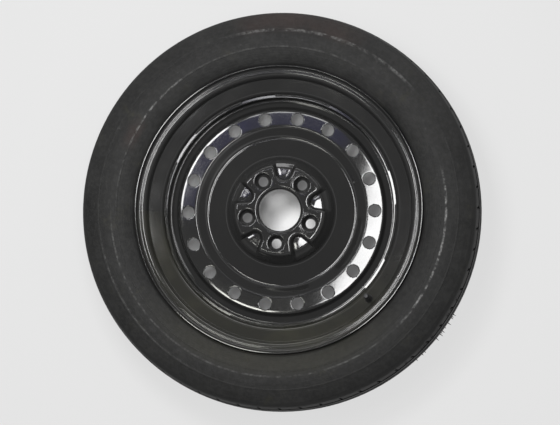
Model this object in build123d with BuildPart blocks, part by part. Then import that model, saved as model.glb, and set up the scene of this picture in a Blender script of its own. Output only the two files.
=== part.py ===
from build123d import *
from math import acos, atan2, cos, degrees, radians, sqrt, tan
import os

# Space saver spare wheel: a narrow tyre on a pressed steel wheel, with its snap-in valve.
# Millimetres. The origin is the wheel's centre, +Z is the wheel's axis and points out of the outer face.
# The wheel grows from the hub outwards: the disc's runs give the well, the well gives the seats,
# and the seats carry the tyre.

# Tyre
section_height = 113.5
section_width = 145.0
widest_share = 0.52
tread_width = 114.0
tread_drop = 6.5
shoulder_round = 13.0
crown_thickness = 12.0
sidewall_thickness = 7.0
liner_shoulder_drop = 7.0
bead_thickness = 13.0
bead_height = 24.0
bead_toe = 2.6
bead_gap = 0.3
clinch_angle = 60.0
groove_depth = 4.5
groove_width = 7.0
groove_places = (12.0, 32.0)
slot_count = 60
slot_width = 4.0
slot_depth = 4.2
slot_length = 13.0
slot_inset = 9.0
slot_lean = 16.0
ring_shares = (0.42, 0.69)
ring_width = 2.4
ring_height = 0.8

# Rim: the sheet's tyre side is drawn, and its wall lies on the air side
rim_width = 101.6
rim_wall = 3.0
flange_height = 17.3
curl_radius = 9.5
lip_run = 1.7
lip_round = 1.2
heel_radius = 6.5
seat_taper = 5.0
outer_seat_width = 13.8
seat_edge_radius = 5.0
well_depth = 27.5
well_wall_run = 6.0
well_top_radius = 7.0
well_floor_width = 35.0
well_foot_radius = 14.0
inner_slope_run = 20.0
ledge_radius = 10.0

# Disc: the sheet's outer face is drawn, and its wall lies behind it
disc_wall = 4.5
centre_bore = 71.5
bore_bend_radius = 6.5
mounting_height = 27.0
pad_rise = 8.5
pad_diameter = 156.0
pad_edge_radius = 8.0
tower_run = 15.0
tower_foot_height = 9.0
tower_foot_radius = 16.0
valley_run = 36.0
valley_height = 1.0
valley_radius = 9.0
band_slope_run = 17.5
band_height = 11.5
band_inner_radius = 7.0
band_width = 28.0
band_outer_radius = 6.0
gutter_slope_run = 7.0
gutter_height = 5.5
gutter_radius = 8.0
flange_run = 14.4
flange_root_height = 4.0
flange_root_radius = 10.0
flange_edge_height = 28.0
flange_fit = 0.1
bore_lip_gap = 0.5

# Openings in the disc
vent_count = 18
vent_diameter = 21.0
vent_beyond_middle = 1.0
lug_count = 5
lug_circle = 115.0
lug_diameter = 17.0
lug_seat_diameter = 28.5
lug_seat_angle = 60.0
lug_start = 48.0
dish_diameter = 43.0
dish_foot_diameter = 30.0
dish_depth = 1.2

# Pockets pressed into the hub pad between the nut seats
pocket_apex_inset = 13.5
pocket_apex_radius = 9.4
pocket_mouth_reach = 5.0
pocket_mouth_width = 33.8
pocket_draft = 27.0
pocket_floor_round = 2.5
pocket_ramp_inset = 4.0
pocket_ramp_angle = 31.0

# Weld runs between the disc's flange and the well
weld_count = 8
weld_span = 27.0
weld_start = 20.0
weld_radius = 3.0
weld_offset = 0.75
weld_root = 0.5

# Valve: heights are measured along its axis from the air side of the well's wall
valve_angle = -45.0
valve_below_seat_edge = 12.6
valve_hole_diameter = 11.3
valve_fit = 0.05
valve_bulb_diameter = 15.2
valve_bulb_tip_diameter = 11.0
valve_bulb_length = 7.0
valve_shoulder_diameter = 14.0
valve_neck_diameter = 11.0
valve_neck_height = 3.0
valve_tip_diameter = 9.4
valve_rubber_height = 12.0
stem_root_diameter = 6.6
stem_thread_diameter = 7.5
stem_height = 20.5
stem_chamfer = 0.5
core_bore_diameter = 5.2
core_bore_depth = 5.0
core_seat_length = 1.0
air_bore_diameter = 3.8

# Valve core, inside the stem
core_fit = 0.1
seal_gap = 0.05
plug_below_mouth = 1.1
plug_length = 3.8
bridge_height = 0.6
bridge_width = 1.6
barrel_diameter = 2.8
barrel_bore = 2.0
barrel_below_plug = 0.5
barrel_length = 11.4
barrel_lip_bore = 1.3
barrel_lip = 0.5
gasket_length = 0.8
pin_diameter = 1.0
pin_below_mouth = 0.3
pin_collar_diameter = 1.8
pin_collar_length = 0.55
pin_foot_diameter = 2.4
pin_foot_length = 0.45
plunger_seal_diameter = 3.0
plunger_seal_length = 1.0
spring_wire = 0.24
spring_diameter = 1.5
spring_turns = 5.5
spring_rise = 4.6

# Valve cap
cap_fit = 0.1
cap_wall = 1.05
cap_top = 1.2
cap_clear_of_rubber = 0.6
cap_round = 0.8
cap_seal_diameter = 6.8
cap_seal_thickness = 1.05

os.makedirs("parts", exist_ok=True)


# Radii of the disc, from its hub pad to the flange that the well sits on
pad_radius = pad_diameter / 2
tower_foot = pad_radius + tower_run
valley = tower_foot + valley_run
band_inner = valley + band_slope_run
band_outer = band_inner + band_width
gutter = band_outer + gutter_slope_run
flange_inside = gutter + flange_run
vent_place = (band_inner + band_outer) / 2 + vent_beyond_middle

# Shared radii and heights of the rim, which the tyre, the disc and the valve fit
well_radius = flange_inside + disc_wall + flange_fit + rim_wall
seat_radius = well_radius + well_depth
half_rim = rim_width / 2
flange_radius = seat_radius + flange_height
lip_height = half_rim + curl_radius + lip_run
seat_slope = tan(radians(seat_taper))
seat_edge = Vector(seat_radius - outer_seat_width * seat_slope, half_rim - outer_seat_width)
well_top = Vector(well_radius, seat_edge.Y - well_wall_run)
well_foot = Vector(well_radius, well_top.Y - well_floor_width)
ledge_height = well_foot.Y - inner_slope_run
ledge = Vector(seat_radius - (half_rim + ledge_height) * seat_slope, ledge_height)


# Tyre: one half of its section is drawn and mirrored about the wheel's middle plane
crown_radius = seat_radius + section_height
half_section = section_width / 2
curl_centre = Vector(flange_radius - curl_radius, half_rim + curl_radius)
heel_centre = Vector(seat_radius + heel_radius, half_rim - heel_radius)
bead_curl = Vector(0, -curl_radius - bead_gap)
bead_heel = heel_radius - bead_gap

crown = Vector(crown_radius, 0)
shoulder = Vector(crown_radius - tread_drop, tread_width / 2)
widest = Vector(seat_radius + widest_share * section_height, half_section)
curl_foot = curl_centre + bead_curl
clinch = curl_centre + bead_curl.rotate(Axis.Z, clinch_angle)
heel_top = heel_centre + Vector(0, bead_heel)
heel_foot = heel_centre - Vector(bead_heel, 0)
toe = seat_edge + Vector(bead_gap, bead_gap)
liner_toe = toe + Vector(bead_toe, -bead_toe / 2)
liner_bead = Vector(seat_radius + bead_height, half_rim - bead_thickness / 2)
liner_widest = widest - Vector(0, sidewall_thickness)
liner_crown = crown - Vector(crown_thickness, 0)
liner_shoulder = liner_crown + Vector(-liner_shoulder_drop, tread_width / 2 - crown_thickness)
ring_radii = [seat_radius + share * section_height for share in ring_shares]


def sidewall_height(radius):
    end = shoulder if radius > widest.X else clinch
    drop = widest.Y - end.Y
    arc_radius = ((end.X - widest.X) ** 2 + drop**2) / (2 * drop)
    return widest.Y - arc_radius + sqrt(arc_radius**2 - (radius - widest.X) ** 2)


def tread_radius(height):
    arc_radius = (shoulder.Y**2 + tread_drop**2) / (2 * tread_drop)
    return crown_radius - arc_radius + sqrt(arc_radius**2 - height**2)


slot_middle = shoulder.Y - slot_inset - slot_length / 2
slot_floor = tread_radius(slot_middle) - slot_depth
slot_places = [Location((slot_floor, 0, side * slot_middle), (slot_lean, 0, 0)) for side in (1, -1)]

with BuildPart() as shoulder_slots:
    with Locations(*slot_places):
        Box(
            crown_radius - slot_floor,
            slot_width,
            slot_length,
            align=(Align.MIN, Align.CENTER, Align.CENTER),
        )

with BuildPart() as tyre:
    with BuildSketch(Plane.XZ) as tyre_section:
        with BuildLine():
            TangentArc(crown, shoulder, tangent=(0, 1))
            TangentArc(widest, shoulder, tangent=(1, 0))
            TangentArc(widest, clinch, tangent=(-1, 0))
            TangentArc(curl_foot, clinch, tangent=(1, 0))
            Line(curl_foot, heel_top)
            TangentArc(heel_top, heel_foot, tangent=(-1, 0))
            Polyline(heel_foot, toe, liner_toe, liner_bead)
            TangentArc(liner_widest, liner_bead, tangent=(-1, 0))
            TangentArc(liner_widest, liner_shoulder, tangent=(1, 0))
            TangentArc(liner_crown, liner_shoulder, tangent=(0, 1))
            Line(liner_crown, crown)
        make_face()
        fillet(tyre_section.vertices().sort_by_distance(shoulder)[0], radius=shoulder_round)
        with Locations(*[(radius, sidewall_height(radius)) for radius in ring_radii]):
            Rectangle(ring_width, 2 * ring_height)
        with Locations(*[(tread_radius(place), place) for place in groove_places]):
            Rectangle(2 * groove_depth, groove_width, mode=Mode.SUBTRACT)
        mirror(about=Plane.XZ)
    revolve(axis=Axis.Z)
    with PolarLocations(0, slot_count):
        add(shoulder_slots.part, mode=Mode.SUBTRACT)


# Rim: a rolled hoop of one sheet, with the valve's hole through the well's outer wall
rim_line = [
    (flange_radius, lip_height),
    (flange_radius, half_rim),
    (seat_radius, half_rim),
    seat_edge,
    well_top,
    well_foot,
    ledge,
    (seat_radius, -half_rim),
    (flange_radius, -half_rim),
    (flange_radius, -lip_height),
]
rim_bends = [
    curl_radius,
    heel_radius,
    seat_edge_radius,
    well_top_radius,
    well_foot_radius,
    ledge_radius,
    heel_radius,
    curl_radius,
]

well_wall = (well_top - seat_edge).normalized()
air_side = Vector(well_wall.Y, -well_wall.X)
valve_seat = seat_edge + well_wall * valve_below_seat_edge + air_side * rim_wall
outward = Vector(1, 0, 0).rotate(Axis.Z, valve_angle)
sideways = Vector(0, 1, 0).rotate(Axis.Z, valve_angle)
valve_origin = outward * valve_seat.X + Vector(0, 0, valve_seat.Y)
valve_direction = outward * air_side.X + Vector(0, 0, air_side.Y)
valve_axis = Axis(valve_origin, valve_direction)
valve_section = Plane(valve_origin, x_dir=sideways, z_dir=sideways.cross(valve_direction))
valve_base = Plane(valve_origin, x_dir=sideways, z_dir=valve_direction)

with BuildPart() as rim:
    with BuildSketch(Plane.XZ) as rim_section:
        with BuildLine():
            FilletPolyline(*rim_line, radius=rim_bends)
            offset(amount=rim_wall, side=Side.RIGHT)
        make_face()
    revolve(axis=Axis.Z)
    for lips in (rim.edges().group_by(Axis.Z)[-1], rim.edges().group_by(Axis.Z)[0]):
        fillet(lips, radius=lip_round)
    with Locations(valve_base):
        Cylinder(valve_hole_diameter / 2, 2 * valve_bulb_length, mode=Mode.SUBTRACT)


# Disc: one pressed sheet, from the collar of the bore to the flange in the well
pad_height = mounting_height + disc_wall + pad_rise
pad_underside = mounting_height + pad_rise
disc_line = [
    (centre_bore / 2, mounting_height + bore_lip_gap),
    (centre_bore / 2, pad_height),
    (pad_radius, pad_height),
    (tower_foot, tower_foot_height),
    (valley, valley_height),
    (band_inner, band_height),
    (band_outer, band_height),
    (gutter, gutter_height),
    (flange_inside, flange_root_height),
    (flange_inside, flange_edge_height),
]
disc_bends = [
    bore_bend_radius,
    pad_edge_radius,
    tower_foot_radius,
    valley_radius,
    band_inner_radius,
    band_outer_radius,
    gutter_radius,
    flange_root_radius,
]

# Nut seats: cones pressed back to the mounting plane
seat_lean = radians(lug_seat_angle / 2)
lug_form_foot = (
    lug_seat_diameter / 2 - (disc_wall + pad_rise) * tan(seat_lean) + disc_wall / cos(seat_lean)
)
lug_form_top = lug_form_foot + pad_rise * tan(seat_lean)

# Pockets: a rounded apex towards the bore, straight sides and a ramp that opens at the tower's wall
tower_slope = tower_run / (pad_height - tower_foot_height)
apex = Vector(pad_radius - pocket_apex_inset, 0)
mouth = Vector(pad_radius + pocket_mouth_reach, pocket_mouth_width / 2)
apex_turn = degrees(atan2((mouth - apex).Y, (mouth - apex).X))
apex_turn += degrees(acos(pocket_apex_radius / (mouth - apex).length))
side_start = apex + Vector(pocket_apex_radius, 0).rotate(Axis.Z, apex_turn)
side_run = mouth - side_start
side_end = side_start + side_run * ((tower_foot - side_start.X) / side_run.X)
draft = radians(pocket_draft)
form_growth = disc_wall / cos(draft) - disc_wall * tan(draft)
pocket_start = lug_start + 180 / lug_count
pocket_floor = mounting_height + disc_wall
ramp_start = pad_radius - pocket_ramp_inset
ramp_drop = (tower_foot - ramp_start) * tan(radians(pocket_ramp_angle))
ramp_wall = disc_wall / cos(radians(pocket_ramp_angle))
form_foot = pocket_floor - ramp_drop - ramp_wall


def tower_middle(height):
    return pad_radius + (pad_height - height) * tower_slope - disc_wall / 2


with BuildSketch() as pocket_outline:
    with BuildLine():
        ThreePointArc(side_start, apex - Vector(pocket_apex_radius, 0), (side_start.X, -side_start.Y))
        Line(side_start, side_end)
        Line((side_start.X, -side_start.Y), (side_end.X, -side_end.Y))
        Line(side_end, (side_end.X, -side_end.Y))
    make_face()

with BuildPart() as pocket_punch:
    with BuildSketch(Plane.XY.offset(pocket_floor)):
        add(pocket_outline.sketch)
    extrude(amount=pad_rise + disc_wall, taper=-pocket_draft)
    fillet(pocket_punch.edges().group_by(Axis.Z)[0], radius=pocket_floor_round)
    with BuildSketch(Plane.XZ):
        with BuildLine():
            Polyline(
                (ramp_start, pocket_floor),
                (tower_foot, pocket_floor - ramp_drop),
                (tower_foot, pad_height),
                (ramp_start, pad_height),
                close=True,
            )
        make_face()
    extrude(amount=side_start.Y, both=True)

with BuildPart() as pocket_form:
    with BuildSketch(Plane.XY.offset(mounting_height)):
        add(pocket_outline.sketch)
        offset(amount=form_growth)
    extrude(amount=pad_rise, taper=-pocket_draft)
    with BuildSketch(Plane.XZ):
        with BuildLine():
            Polyline(
                (ramp_start, pocket_floor - ramp_wall),
                (tower_foot, form_foot),
                (tower_foot, pad_underside),
                (ramp_start, pad_underside),
                close=True,
            )
        make_face()
    extrude(amount=side_start.Y + form_growth, both=True)
    with Locations((0, 0, form_foot)):
        Cone(
            tower_middle(form_foot),
            tower_middle(pad_underside),
            pad_underside - form_foot,
            align=(Align.CENTER, Align.CENTER, Align.MIN),
            mode=Mode.INTERSECT,
        )

with BuildPart() as disc:
    with BuildSketch(Plane.XZ) as disc_section:
        with BuildLine():
            FilletPolyline(*disc_line, radius=disc_bends)
            offset(amount=disc_wall, side=Side.RIGHT)
        make_face()
    revolve(axis=Axis.Z)
    with Locations((0, 0, mounting_height)):
        with PolarLocations(lug_circle / 2, lug_count, start_angle=lug_start):
            Cone(
                lug_form_foot,
                lug_form_top,
                pad_rise,
                align=(Align.CENTER, Align.CENTER, Align.MIN),
            )
    with PolarLocations(0, lug_count, start_angle=pocket_start):
        add(pocket_form.part)
    with PolarLocations(0, lug_count, start_angle=pocket_start):
        add(pocket_punch.part, mode=Mode.SUBTRACT)
    with Locations((0, 0, pad_height)):
        with PolarLocations(lug_circle / 2, lug_count, start_angle=lug_start):
            Cone(
                dish_foot_diameter / 2,
                dish_diameter / 2,
                dish_depth,
                align=(Align.CENTER, Align.CENTER, Align.MAX),
                mode=Mode.SUBTRACT,
            )
            CounterSinkHole(lug_diameter / 2, lug_seat_diameter / 2, counter_sink_angle=lug_seat_angle)
    with Locations((0, 0, band_height)):
        with PolarLocations(vent_place, vent_count):
            Hole(vent_diameter / 2)


# Weld runs: a rounded bead that fills the angle between the flange's edge and the well's wall
weld_size = 2 * weld_radius
weld_centre = Vector(flange_inside + disc_wall - weld_offset, flange_edge_height + weld_offset)
weld_cut = Vector(weld_centre.X, flange_edge_height - weld_root)

with BuildPart() as weld_bead:
    with BuildSketch(Plane.XZ):
        with Locations(weld_centre):
            Circle(weld_radius)
        with Locations(weld_cut):
            Rectangle(
                2 * weld_size,
                weld_size,
                align=(Align.CENTER, Align.MAX),
                mode=Mode.SUBTRACT,
            )
        add(rim_section.sketch_local, mode=Mode.SUBTRACT)
        add(disc_section.sketch_local, mode=Mode.SUBTRACT)
    revolve(axis=Axis.Z, revolution_arc=weld_span)

with BuildPart() as weld_beads:
    with PolarLocations(0, weld_count, start_angle=weld_start):
        add(weld_bead.part)


# Valve body: rubber, snapped into the hole with a bulb inside and a shoulder outside
inner_end = -rim_wall - valve_bulb_length
stem_seat = stem_root_diameter / 2 + valve_fit
hole_side = valve_hole_diameter / 2 - valve_fit

with BuildPart() as valve_body:
    with BuildSketch(valve_section):
        with BuildLine():
            Polyline(
                (stem_seat, inner_end),
                (valve_bulb_tip_diameter / 2, inner_end),
                (valve_bulb_diameter / 2, -rim_wall - valve_fit),
                (hole_side, -rim_wall - valve_fit),
                (hole_side, valve_fit),
                (valve_shoulder_diameter / 2, valve_fit),
                (valve_neck_diameter / 2, valve_neck_height),
                (valve_tip_diameter / 2, valve_rubber_height),
                (stem_seat, valve_rubber_height),
                close=True,
            )
        make_face()
    revolve(axis=valve_axis)

# Valve stem: brass, with the core's bore and its cone seat
core_bore_foot = stem_height - core_bore_depth
core_seat_foot = core_bore_foot - core_seat_length

with BuildPart() as valve_stem:
    with BuildSketch(valve_section):
        with BuildLine():
            Polyline(
                (air_bore_diameter / 2, inner_end),
                (stem_root_diameter / 2, inner_end),
                (stem_root_diameter / 2, valve_rubber_height + valve_fit),
                (stem_thread_diameter / 2, valve_rubber_height + valve_fit),
                (stem_thread_diameter / 2, stem_height - stem_chamfer),
                (stem_thread_diameter / 2 - stem_chamfer, stem_height),
                (core_bore_diameter / 2, stem_height),
                (core_bore_diameter / 2, core_bore_foot),
                (air_bore_diameter / 2, core_seat_foot),
                close=True,
            )
        make_face()
    revolve(axis=valve_axis)

# Core plug: a threaded ring with a bridge that guides the pin
plug_top = stem_height - plug_below_mouth
plug_foot = plug_top - plug_length
plug_radius = core_bore_diameter / 2 - core_fit
pin_guide = pin_diameter / 2 + core_fit

with BuildPart() as core_plug:
    with BuildSketch(valve_base.offset(plug_foot)):
        Circle(plug_radius)
        Circle(barrel_diameter / 2 + seal_gap, mode=Mode.SUBTRACT)
    extrude(amount=plug_length)
    with BuildSketch(valve_base.offset(plug_top)):
        Circle(plug_radius)
        Rectangle(2 * plug_radius, bridge_width, mode=Mode.INTERSECT)
        Circle(pin_guide, mode=Mode.SUBTRACT)
    extrude(amount=bridge_height)

# Core barrel: a tube held in the plug, with a lip that carries the spring
barrel_top = plug_top - barrel_below_plug
barrel_foot = barrel_top - barrel_length

with BuildPart() as core_barrel:
    with BuildSketch(valve_base.offset(barrel_foot)):
        Circle(barrel_diameter / 2)
        Circle(barrel_lip_bore / 2, mode=Mode.SUBTRACT)
    extrude(amount=barrel_length)
    with BuildSketch(valve_base.offset(barrel_foot + barrel_lip)):
        Circle(barrel_bore / 2)
    extrude(amount=barrel_length - barrel_lip, mode=Mode.SUBTRACT)

# Core gasket: a cone ring on the stem's cone seat, under the plug
gasket_top = plug_foot - seal_gap
gasket_foot = gasket_top - gasket_length
gasket_bore = barrel_diameter / 2 + seal_gap
core_seat_slope = (core_bore_diameter - air_bore_diameter) / 2 / core_seat_length


def core_seat_radius(height):
    return air_bore_diameter / 2 + (height - core_seat_foot) * core_seat_slope


with BuildPart() as core_gasket:
    with BuildSketch(valve_section):
        with BuildLine():
            Polyline(
                (gasket_bore, gasket_foot),
                (core_seat_radius(gasket_foot) - core_fit, gasket_foot),
                (core_seat_radius(gasket_top) - core_fit, gasket_top),
                (gasket_bore, gasket_top),
                close=True,
            )
        make_face()
    revolve(axis=valve_axis)

# Core spring: between the barrel's lip and the pin's collar
spring_foot = barrel_foot + barrel_lip + seal_gap + spring_wire / 2
spring_top = spring_foot + spring_rise + spring_wire / 2

with BuildPart() as core_spring:
    with BuildLine() as coil:
        Helix(
            pitch=spring_rise / spring_turns,
            height=spring_rise,
            radius=spring_diameter / 2,
            center=valve_origin + valve_direction * spring_foot,
            direction=valve_direction,
        )
    with BuildSketch(Plane(origin=coil.line @ 0, z_dir=coil.line % 0)):
        Circle(spring_wire / 2)
    sweep(path=coil.line, is_frenet=True)

# Core pin and plunger seal: pushed in together against the spring
plunger_seal_top = barrel_foot - seal_gap
plunger_seal_foot = plunger_seal_top - plunger_seal_length
pin_foot_top = plunger_seal_foot - seal_gap
collar_foot = spring_top + seal_gap

with BuildPart() as core_pin:
    with BuildSketch(valve_section):
        with BuildLine():
            Polyline(
                (0, pin_foot_top - pin_foot_length),
                (pin_foot_diameter / 2, pin_foot_top - pin_foot_length),
                (pin_foot_diameter / 2, pin_foot_top),
                (pin_diameter / 2, pin_foot_top),
                (pin_diameter / 2, collar_foot),
                (pin_collar_diameter / 2, collar_foot),
                (pin_collar_diameter / 2, collar_foot + pin_collar_length),
                (pin_diameter / 2, collar_foot + pin_collar_length),
                (pin_diameter / 2, stem_height - pin_below_mouth),
                (0, stem_height - pin_below_mouth),
                close=True,
            )
        make_face()
    revolve(axis=valve_axis)

with BuildPart() as plunger_seal:
    with BuildSketch(valve_base.offset(plunger_seal_foot)):
        Circle(plunger_seal_diameter / 2)
        Circle(pin_diameter / 2 + seal_gap, mode=Mode.SUBTRACT)
    extrude(amount=plunger_seal_length)

# Valve cap and its seal, screwed on the stem's thread
cap_seal_foot = stem_height + seal_gap
cap_ceiling = cap_seal_foot + cap_seal_thickness + seal_gap
cap_foot = valve_rubber_height + cap_clear_of_rubber
cap_bore = stem_thread_diameter / 2 + cap_fit

with BuildPart() as valve_cap:
    with BuildSketch(valve_base.offset(cap_foot)):
        Circle(cap_bore + cap_wall)
    extrude(amount=cap_ceiling + cap_top - cap_foot)
    fillet(valve_cap.faces().sort_by(valve_axis)[-1].edges(), radius=cap_round)
    with BuildSketch(valve_base.offset(cap_foot)):
        Circle(cap_bore)
    extrude(amount=cap_ceiling - cap_foot, mode=Mode.SUBTRACT)

with BuildPart() as cap_seal:
    with BuildSketch(valve_base.offset(cap_seal_foot)):
        Circle(cap_seal_diameter / 2)
    extrude(amount=cap_seal_thickness)


pieces = {
    "tyre": tyre,
    "rim": rim,
    "disc": disc,
    "weld_beads": weld_beads,
    "valve_body": valve_body,
    "valve_stem": valve_stem,
    "core_plug": core_plug,
    "core_barrel": core_barrel,
    "core_gasket": core_gasket,
    "core_spring": core_spring,
    "core_pin": core_pin,
    "plunger_seal": plunger_seal,
    "valve_cap": valve_cap,
    "cap_seal": cap_seal,
}
for name, piece in pieces.items():
    piece.part.label = name
    export_step(piece.part, f"parts/{name}.step")
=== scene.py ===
import bmesh
import bpy
import math
import numpy as np
from mathutils import Matrix, Vector
from mathutils.geometry import delaunay_2d_cdt


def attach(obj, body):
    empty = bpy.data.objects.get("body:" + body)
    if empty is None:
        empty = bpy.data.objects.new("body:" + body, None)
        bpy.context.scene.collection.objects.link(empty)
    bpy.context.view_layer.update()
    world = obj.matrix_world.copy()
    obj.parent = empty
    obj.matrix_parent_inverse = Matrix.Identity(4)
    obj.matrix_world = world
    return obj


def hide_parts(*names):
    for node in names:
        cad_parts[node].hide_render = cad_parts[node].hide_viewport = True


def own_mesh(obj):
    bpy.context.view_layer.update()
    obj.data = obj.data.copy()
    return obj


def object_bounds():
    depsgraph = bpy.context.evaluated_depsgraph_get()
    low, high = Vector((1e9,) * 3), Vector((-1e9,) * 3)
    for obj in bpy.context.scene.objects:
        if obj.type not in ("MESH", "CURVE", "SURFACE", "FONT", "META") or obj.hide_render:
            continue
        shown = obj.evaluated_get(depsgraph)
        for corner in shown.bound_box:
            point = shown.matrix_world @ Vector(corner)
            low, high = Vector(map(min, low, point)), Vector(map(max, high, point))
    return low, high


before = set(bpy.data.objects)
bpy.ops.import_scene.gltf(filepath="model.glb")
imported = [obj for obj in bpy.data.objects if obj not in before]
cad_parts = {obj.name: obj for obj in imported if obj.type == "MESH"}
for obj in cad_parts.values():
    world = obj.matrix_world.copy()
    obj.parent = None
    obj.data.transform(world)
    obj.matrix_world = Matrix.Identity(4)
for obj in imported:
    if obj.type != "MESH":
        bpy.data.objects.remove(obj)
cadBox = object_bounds()
scene = bpy.context.scene
mm = 0.001


# one socket of a node tree, with arithmetic
class Wire:
    def __init__(self, tree, socket):
        self.tree = tree
        self.socket = socket

    # any node: its type, its settings, then what its sockets get
    def node(self, kind, settings=None, sockets=None, output=0):
        made = self.tree.nodes.new(kind)
        for name, value in (settings or {}).items():
            setattr(made, name, value)
        for name, value in (sockets or {}).items():
            if isinstance(value, Wire):
                self.tree.links.new(value.socket, made.inputs[name])
            else:
                made.inputs[name].default_value = value
        return Wire(self.tree, made.outputs[output])

    # another output of the same node
    def output(self, name):
        return Wire(self.tree, self.socket.node.outputs[name])

    def maths(self, operation, *values):
        return self.node("ShaderNodeMath", {"operation": operation}, dict(enumerate(values)))

    def __add__(self, other):
        return self.maths("ADD", self, other)

    def __sub__(self, other):
        return self.maths("SUBTRACT", self, other)

    def __mul__(self, other):
        return self.maths("MULTIPLY", self, other)

    def __truediv__(self, other):
        return self.maths("DIVIDE", self, other)

    def __pow__(self, other):
        return self.maths("POWER", self, other)

    def __radd__(self, other):
        return self.maths("ADD", other, self)

    def __rsub__(self, other):
        return self.maths("SUBTRACT", other, self)

    def __rmul__(self, other):
        return self.maths("MULTIPLY", other, self)

    # 0 below low, 1 above high, smooth between
    def rise(self, low, high):
        return self.node(
            "ShaderNodeMapRange",
            {"interpolation_type": "SMOOTHSTEP"},
            {0: self, 1: low, 2: high, 3: 0.0, 4: 1.0},
        )

    # 1 between low and high, soft at both ends
    def band(self, low, high, soft):
        return self.rise(low - soft, low + soft) * (1 - self.rise(high - soft, high + soft))

    def colour(self, first, second):
        return self.node("ShaderNodeMix", {"data_type": "RGBA"}, {0: self, 6: first, 7: second}, 2)

    def noise(self, size, detail, rough=0.5):
        return self.node(
            "ShaderNodeTexNoise",
            {"noise_dimensions": "3D"},
            {"Vector": self, "Scale": 1 / size, "Detail": detail, "Roughness": rough},
        )

    def noiseAlong(self, size, detail):
        return self.node(
            "ShaderNodeTexNoise",
            {"noise_dimensions": "1D"},
            {"W": self, "Scale": 1 / size, "Detail": detail, "Roughness": 0.5},
        )

    def bump(self, height):
        return self.node("ShaderNodeBump", {}, {"Strength": 1.0, "Distance": height, "Height": self})

    def vector(self, x, y, z):
        return self.node("ShaderNodeCombineXYZ", {}, {0: x, 1: y, 2: z})


def rgb(red, green, blue):
    return (red, green, blue, 1.0)


# a new material, its shader and the piece's own coordinates
def newFinish(name):
    material = bpy.data.materials.new(name)
    material.use_nodes = True
    tree = material.node_tree
    tree.nodes.clear()
    shader = tree.nodes.new("ShaderNodeBsdfPrincipled")
    ending = tree.nodes.new("ShaderNodeOutputMaterial")
    tree.links.new(shader.outputs["BSDF"], ending.inputs["Surface"])
    place = Wire(tree, tree.nodes.new("ShaderNodeTexCoord").outputs["Object"])
    return material, shader, place


def feed(shader, **sockets):
    for name, value in sockets.items():
        socket = shader.inputs[name.replace("_", " ")]
        if isinstance(value, Wire):
            value.tree.links.new(value.socket, socket)
        else:
            socket.default_value = value


# distance from the wheel's axis, angle round it, and height, in metres and radians
def wheelPlace(place):
    x = place.node("ShaderNodeSeparateXYZ", {}, {0: place})
    y, z = x.output(1), x.output(2)
    radius = (x * x + y * y) ** 0.5
    return radius, y.maths("ARCTAN2", y, x), z


# the photograph's view
view = {
    "lean": (0.1144, -0.0923),
    "distance": 6.0,
    "lens": 223.4,
    "aim": (-0.0035, -0.00074),
}


def setCamera():
    away = Vector((view["lean"][0], view["lean"][1], 1)).normalized()
    up = (Vector((0, 1, 0)) - away * away.y).normalized()
    right = up.cross(away)
    camera = bpy.data.objects.new("viewCamera", bpy.data.cameras.new("viewCamera"))
    camera.data.sensor_width = 36
    camera.data.sensor_fit = "HORIZONTAL"
    camera.data.lens = view["lens"]
    camera.data.clip_end = 50
    aim = right * view["aim"][0] + up * view["aim"][1]
    spot = aim + away * view["distance"]
    turn = Matrix((right, up, away)).transposed().to_4x4()
    camera.matrix_world = Matrix.Translation(spot) @ turn
    scene.collection.objects.link(camera)
    scene.camera = camera


setCamera()

# floor, room light and overhead softboxes
studio = {
    "floorSize": 14.0,
    "floorGrain": 0.004,
    "floorRough": (0.75, 0.15),
    "floorColour": rgb(0.78, 0.78, 0.78),
    "floorGlow": (0.14, 0.90),
    "glowColour": rgb(0.755, 0.755, 0.755),
    "floorGlowFrom": (0.28, 0.34),
    "overhead": 0.22,
    "wallGlow": 1.1,
    "wallRise": (0.64, 0.68, 0.74, 0.79),
    "windowGlow": 5.0,
    "windowRise": (0.18, 0.22, 0.31, 0.35),
    "windowAzimuth": 80,
    "windowHalf": (50, 30),
    # centre, size, turn in degrees, power, tint, seen in reflections
    "softboxes": {
        "keyBox": ((0.0559, 0.0678), (0.16, 0.40), -17.5, 5.0, (1, 1, 1), True),
        "skyBoxLeft": ((-0.342, 0.25), (0.24, 0.09), 57, 0.036, (0.2, 0.2, 1), True),
        "skyBoxTop": ((-0.138, 0.339), (0.24, 0.09), -10, 0.036, (0.2, 0.2, 1), True),
        "leftBoxLow": ((-0.4633, 0.2232), (0.150, 0.117), 74, 1.45, (1, 1, 1), True),
        "leftBoxHigh": ((-0.3902, 0.3498), (0.150, 0.117), 46, 1.45, (1, 1, 1), True),
        "belowBox": ((-0.2910, -0.1380), (0.20, 0.100), 157, 1.50, (1, 1, 0.93), True),
        "topBox": ((-0.1503, 0.399), (0.24, 0.05), -5, 0.38, (1, 1, 1), True),
        "fillBox": ((-0.19, 0.408), (0.42, 0.42), 25, 24.0, (1, 1, 1), False),
    },
    "boxStep": 0.004,
    "boxHeight": 1.5,
}


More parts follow.
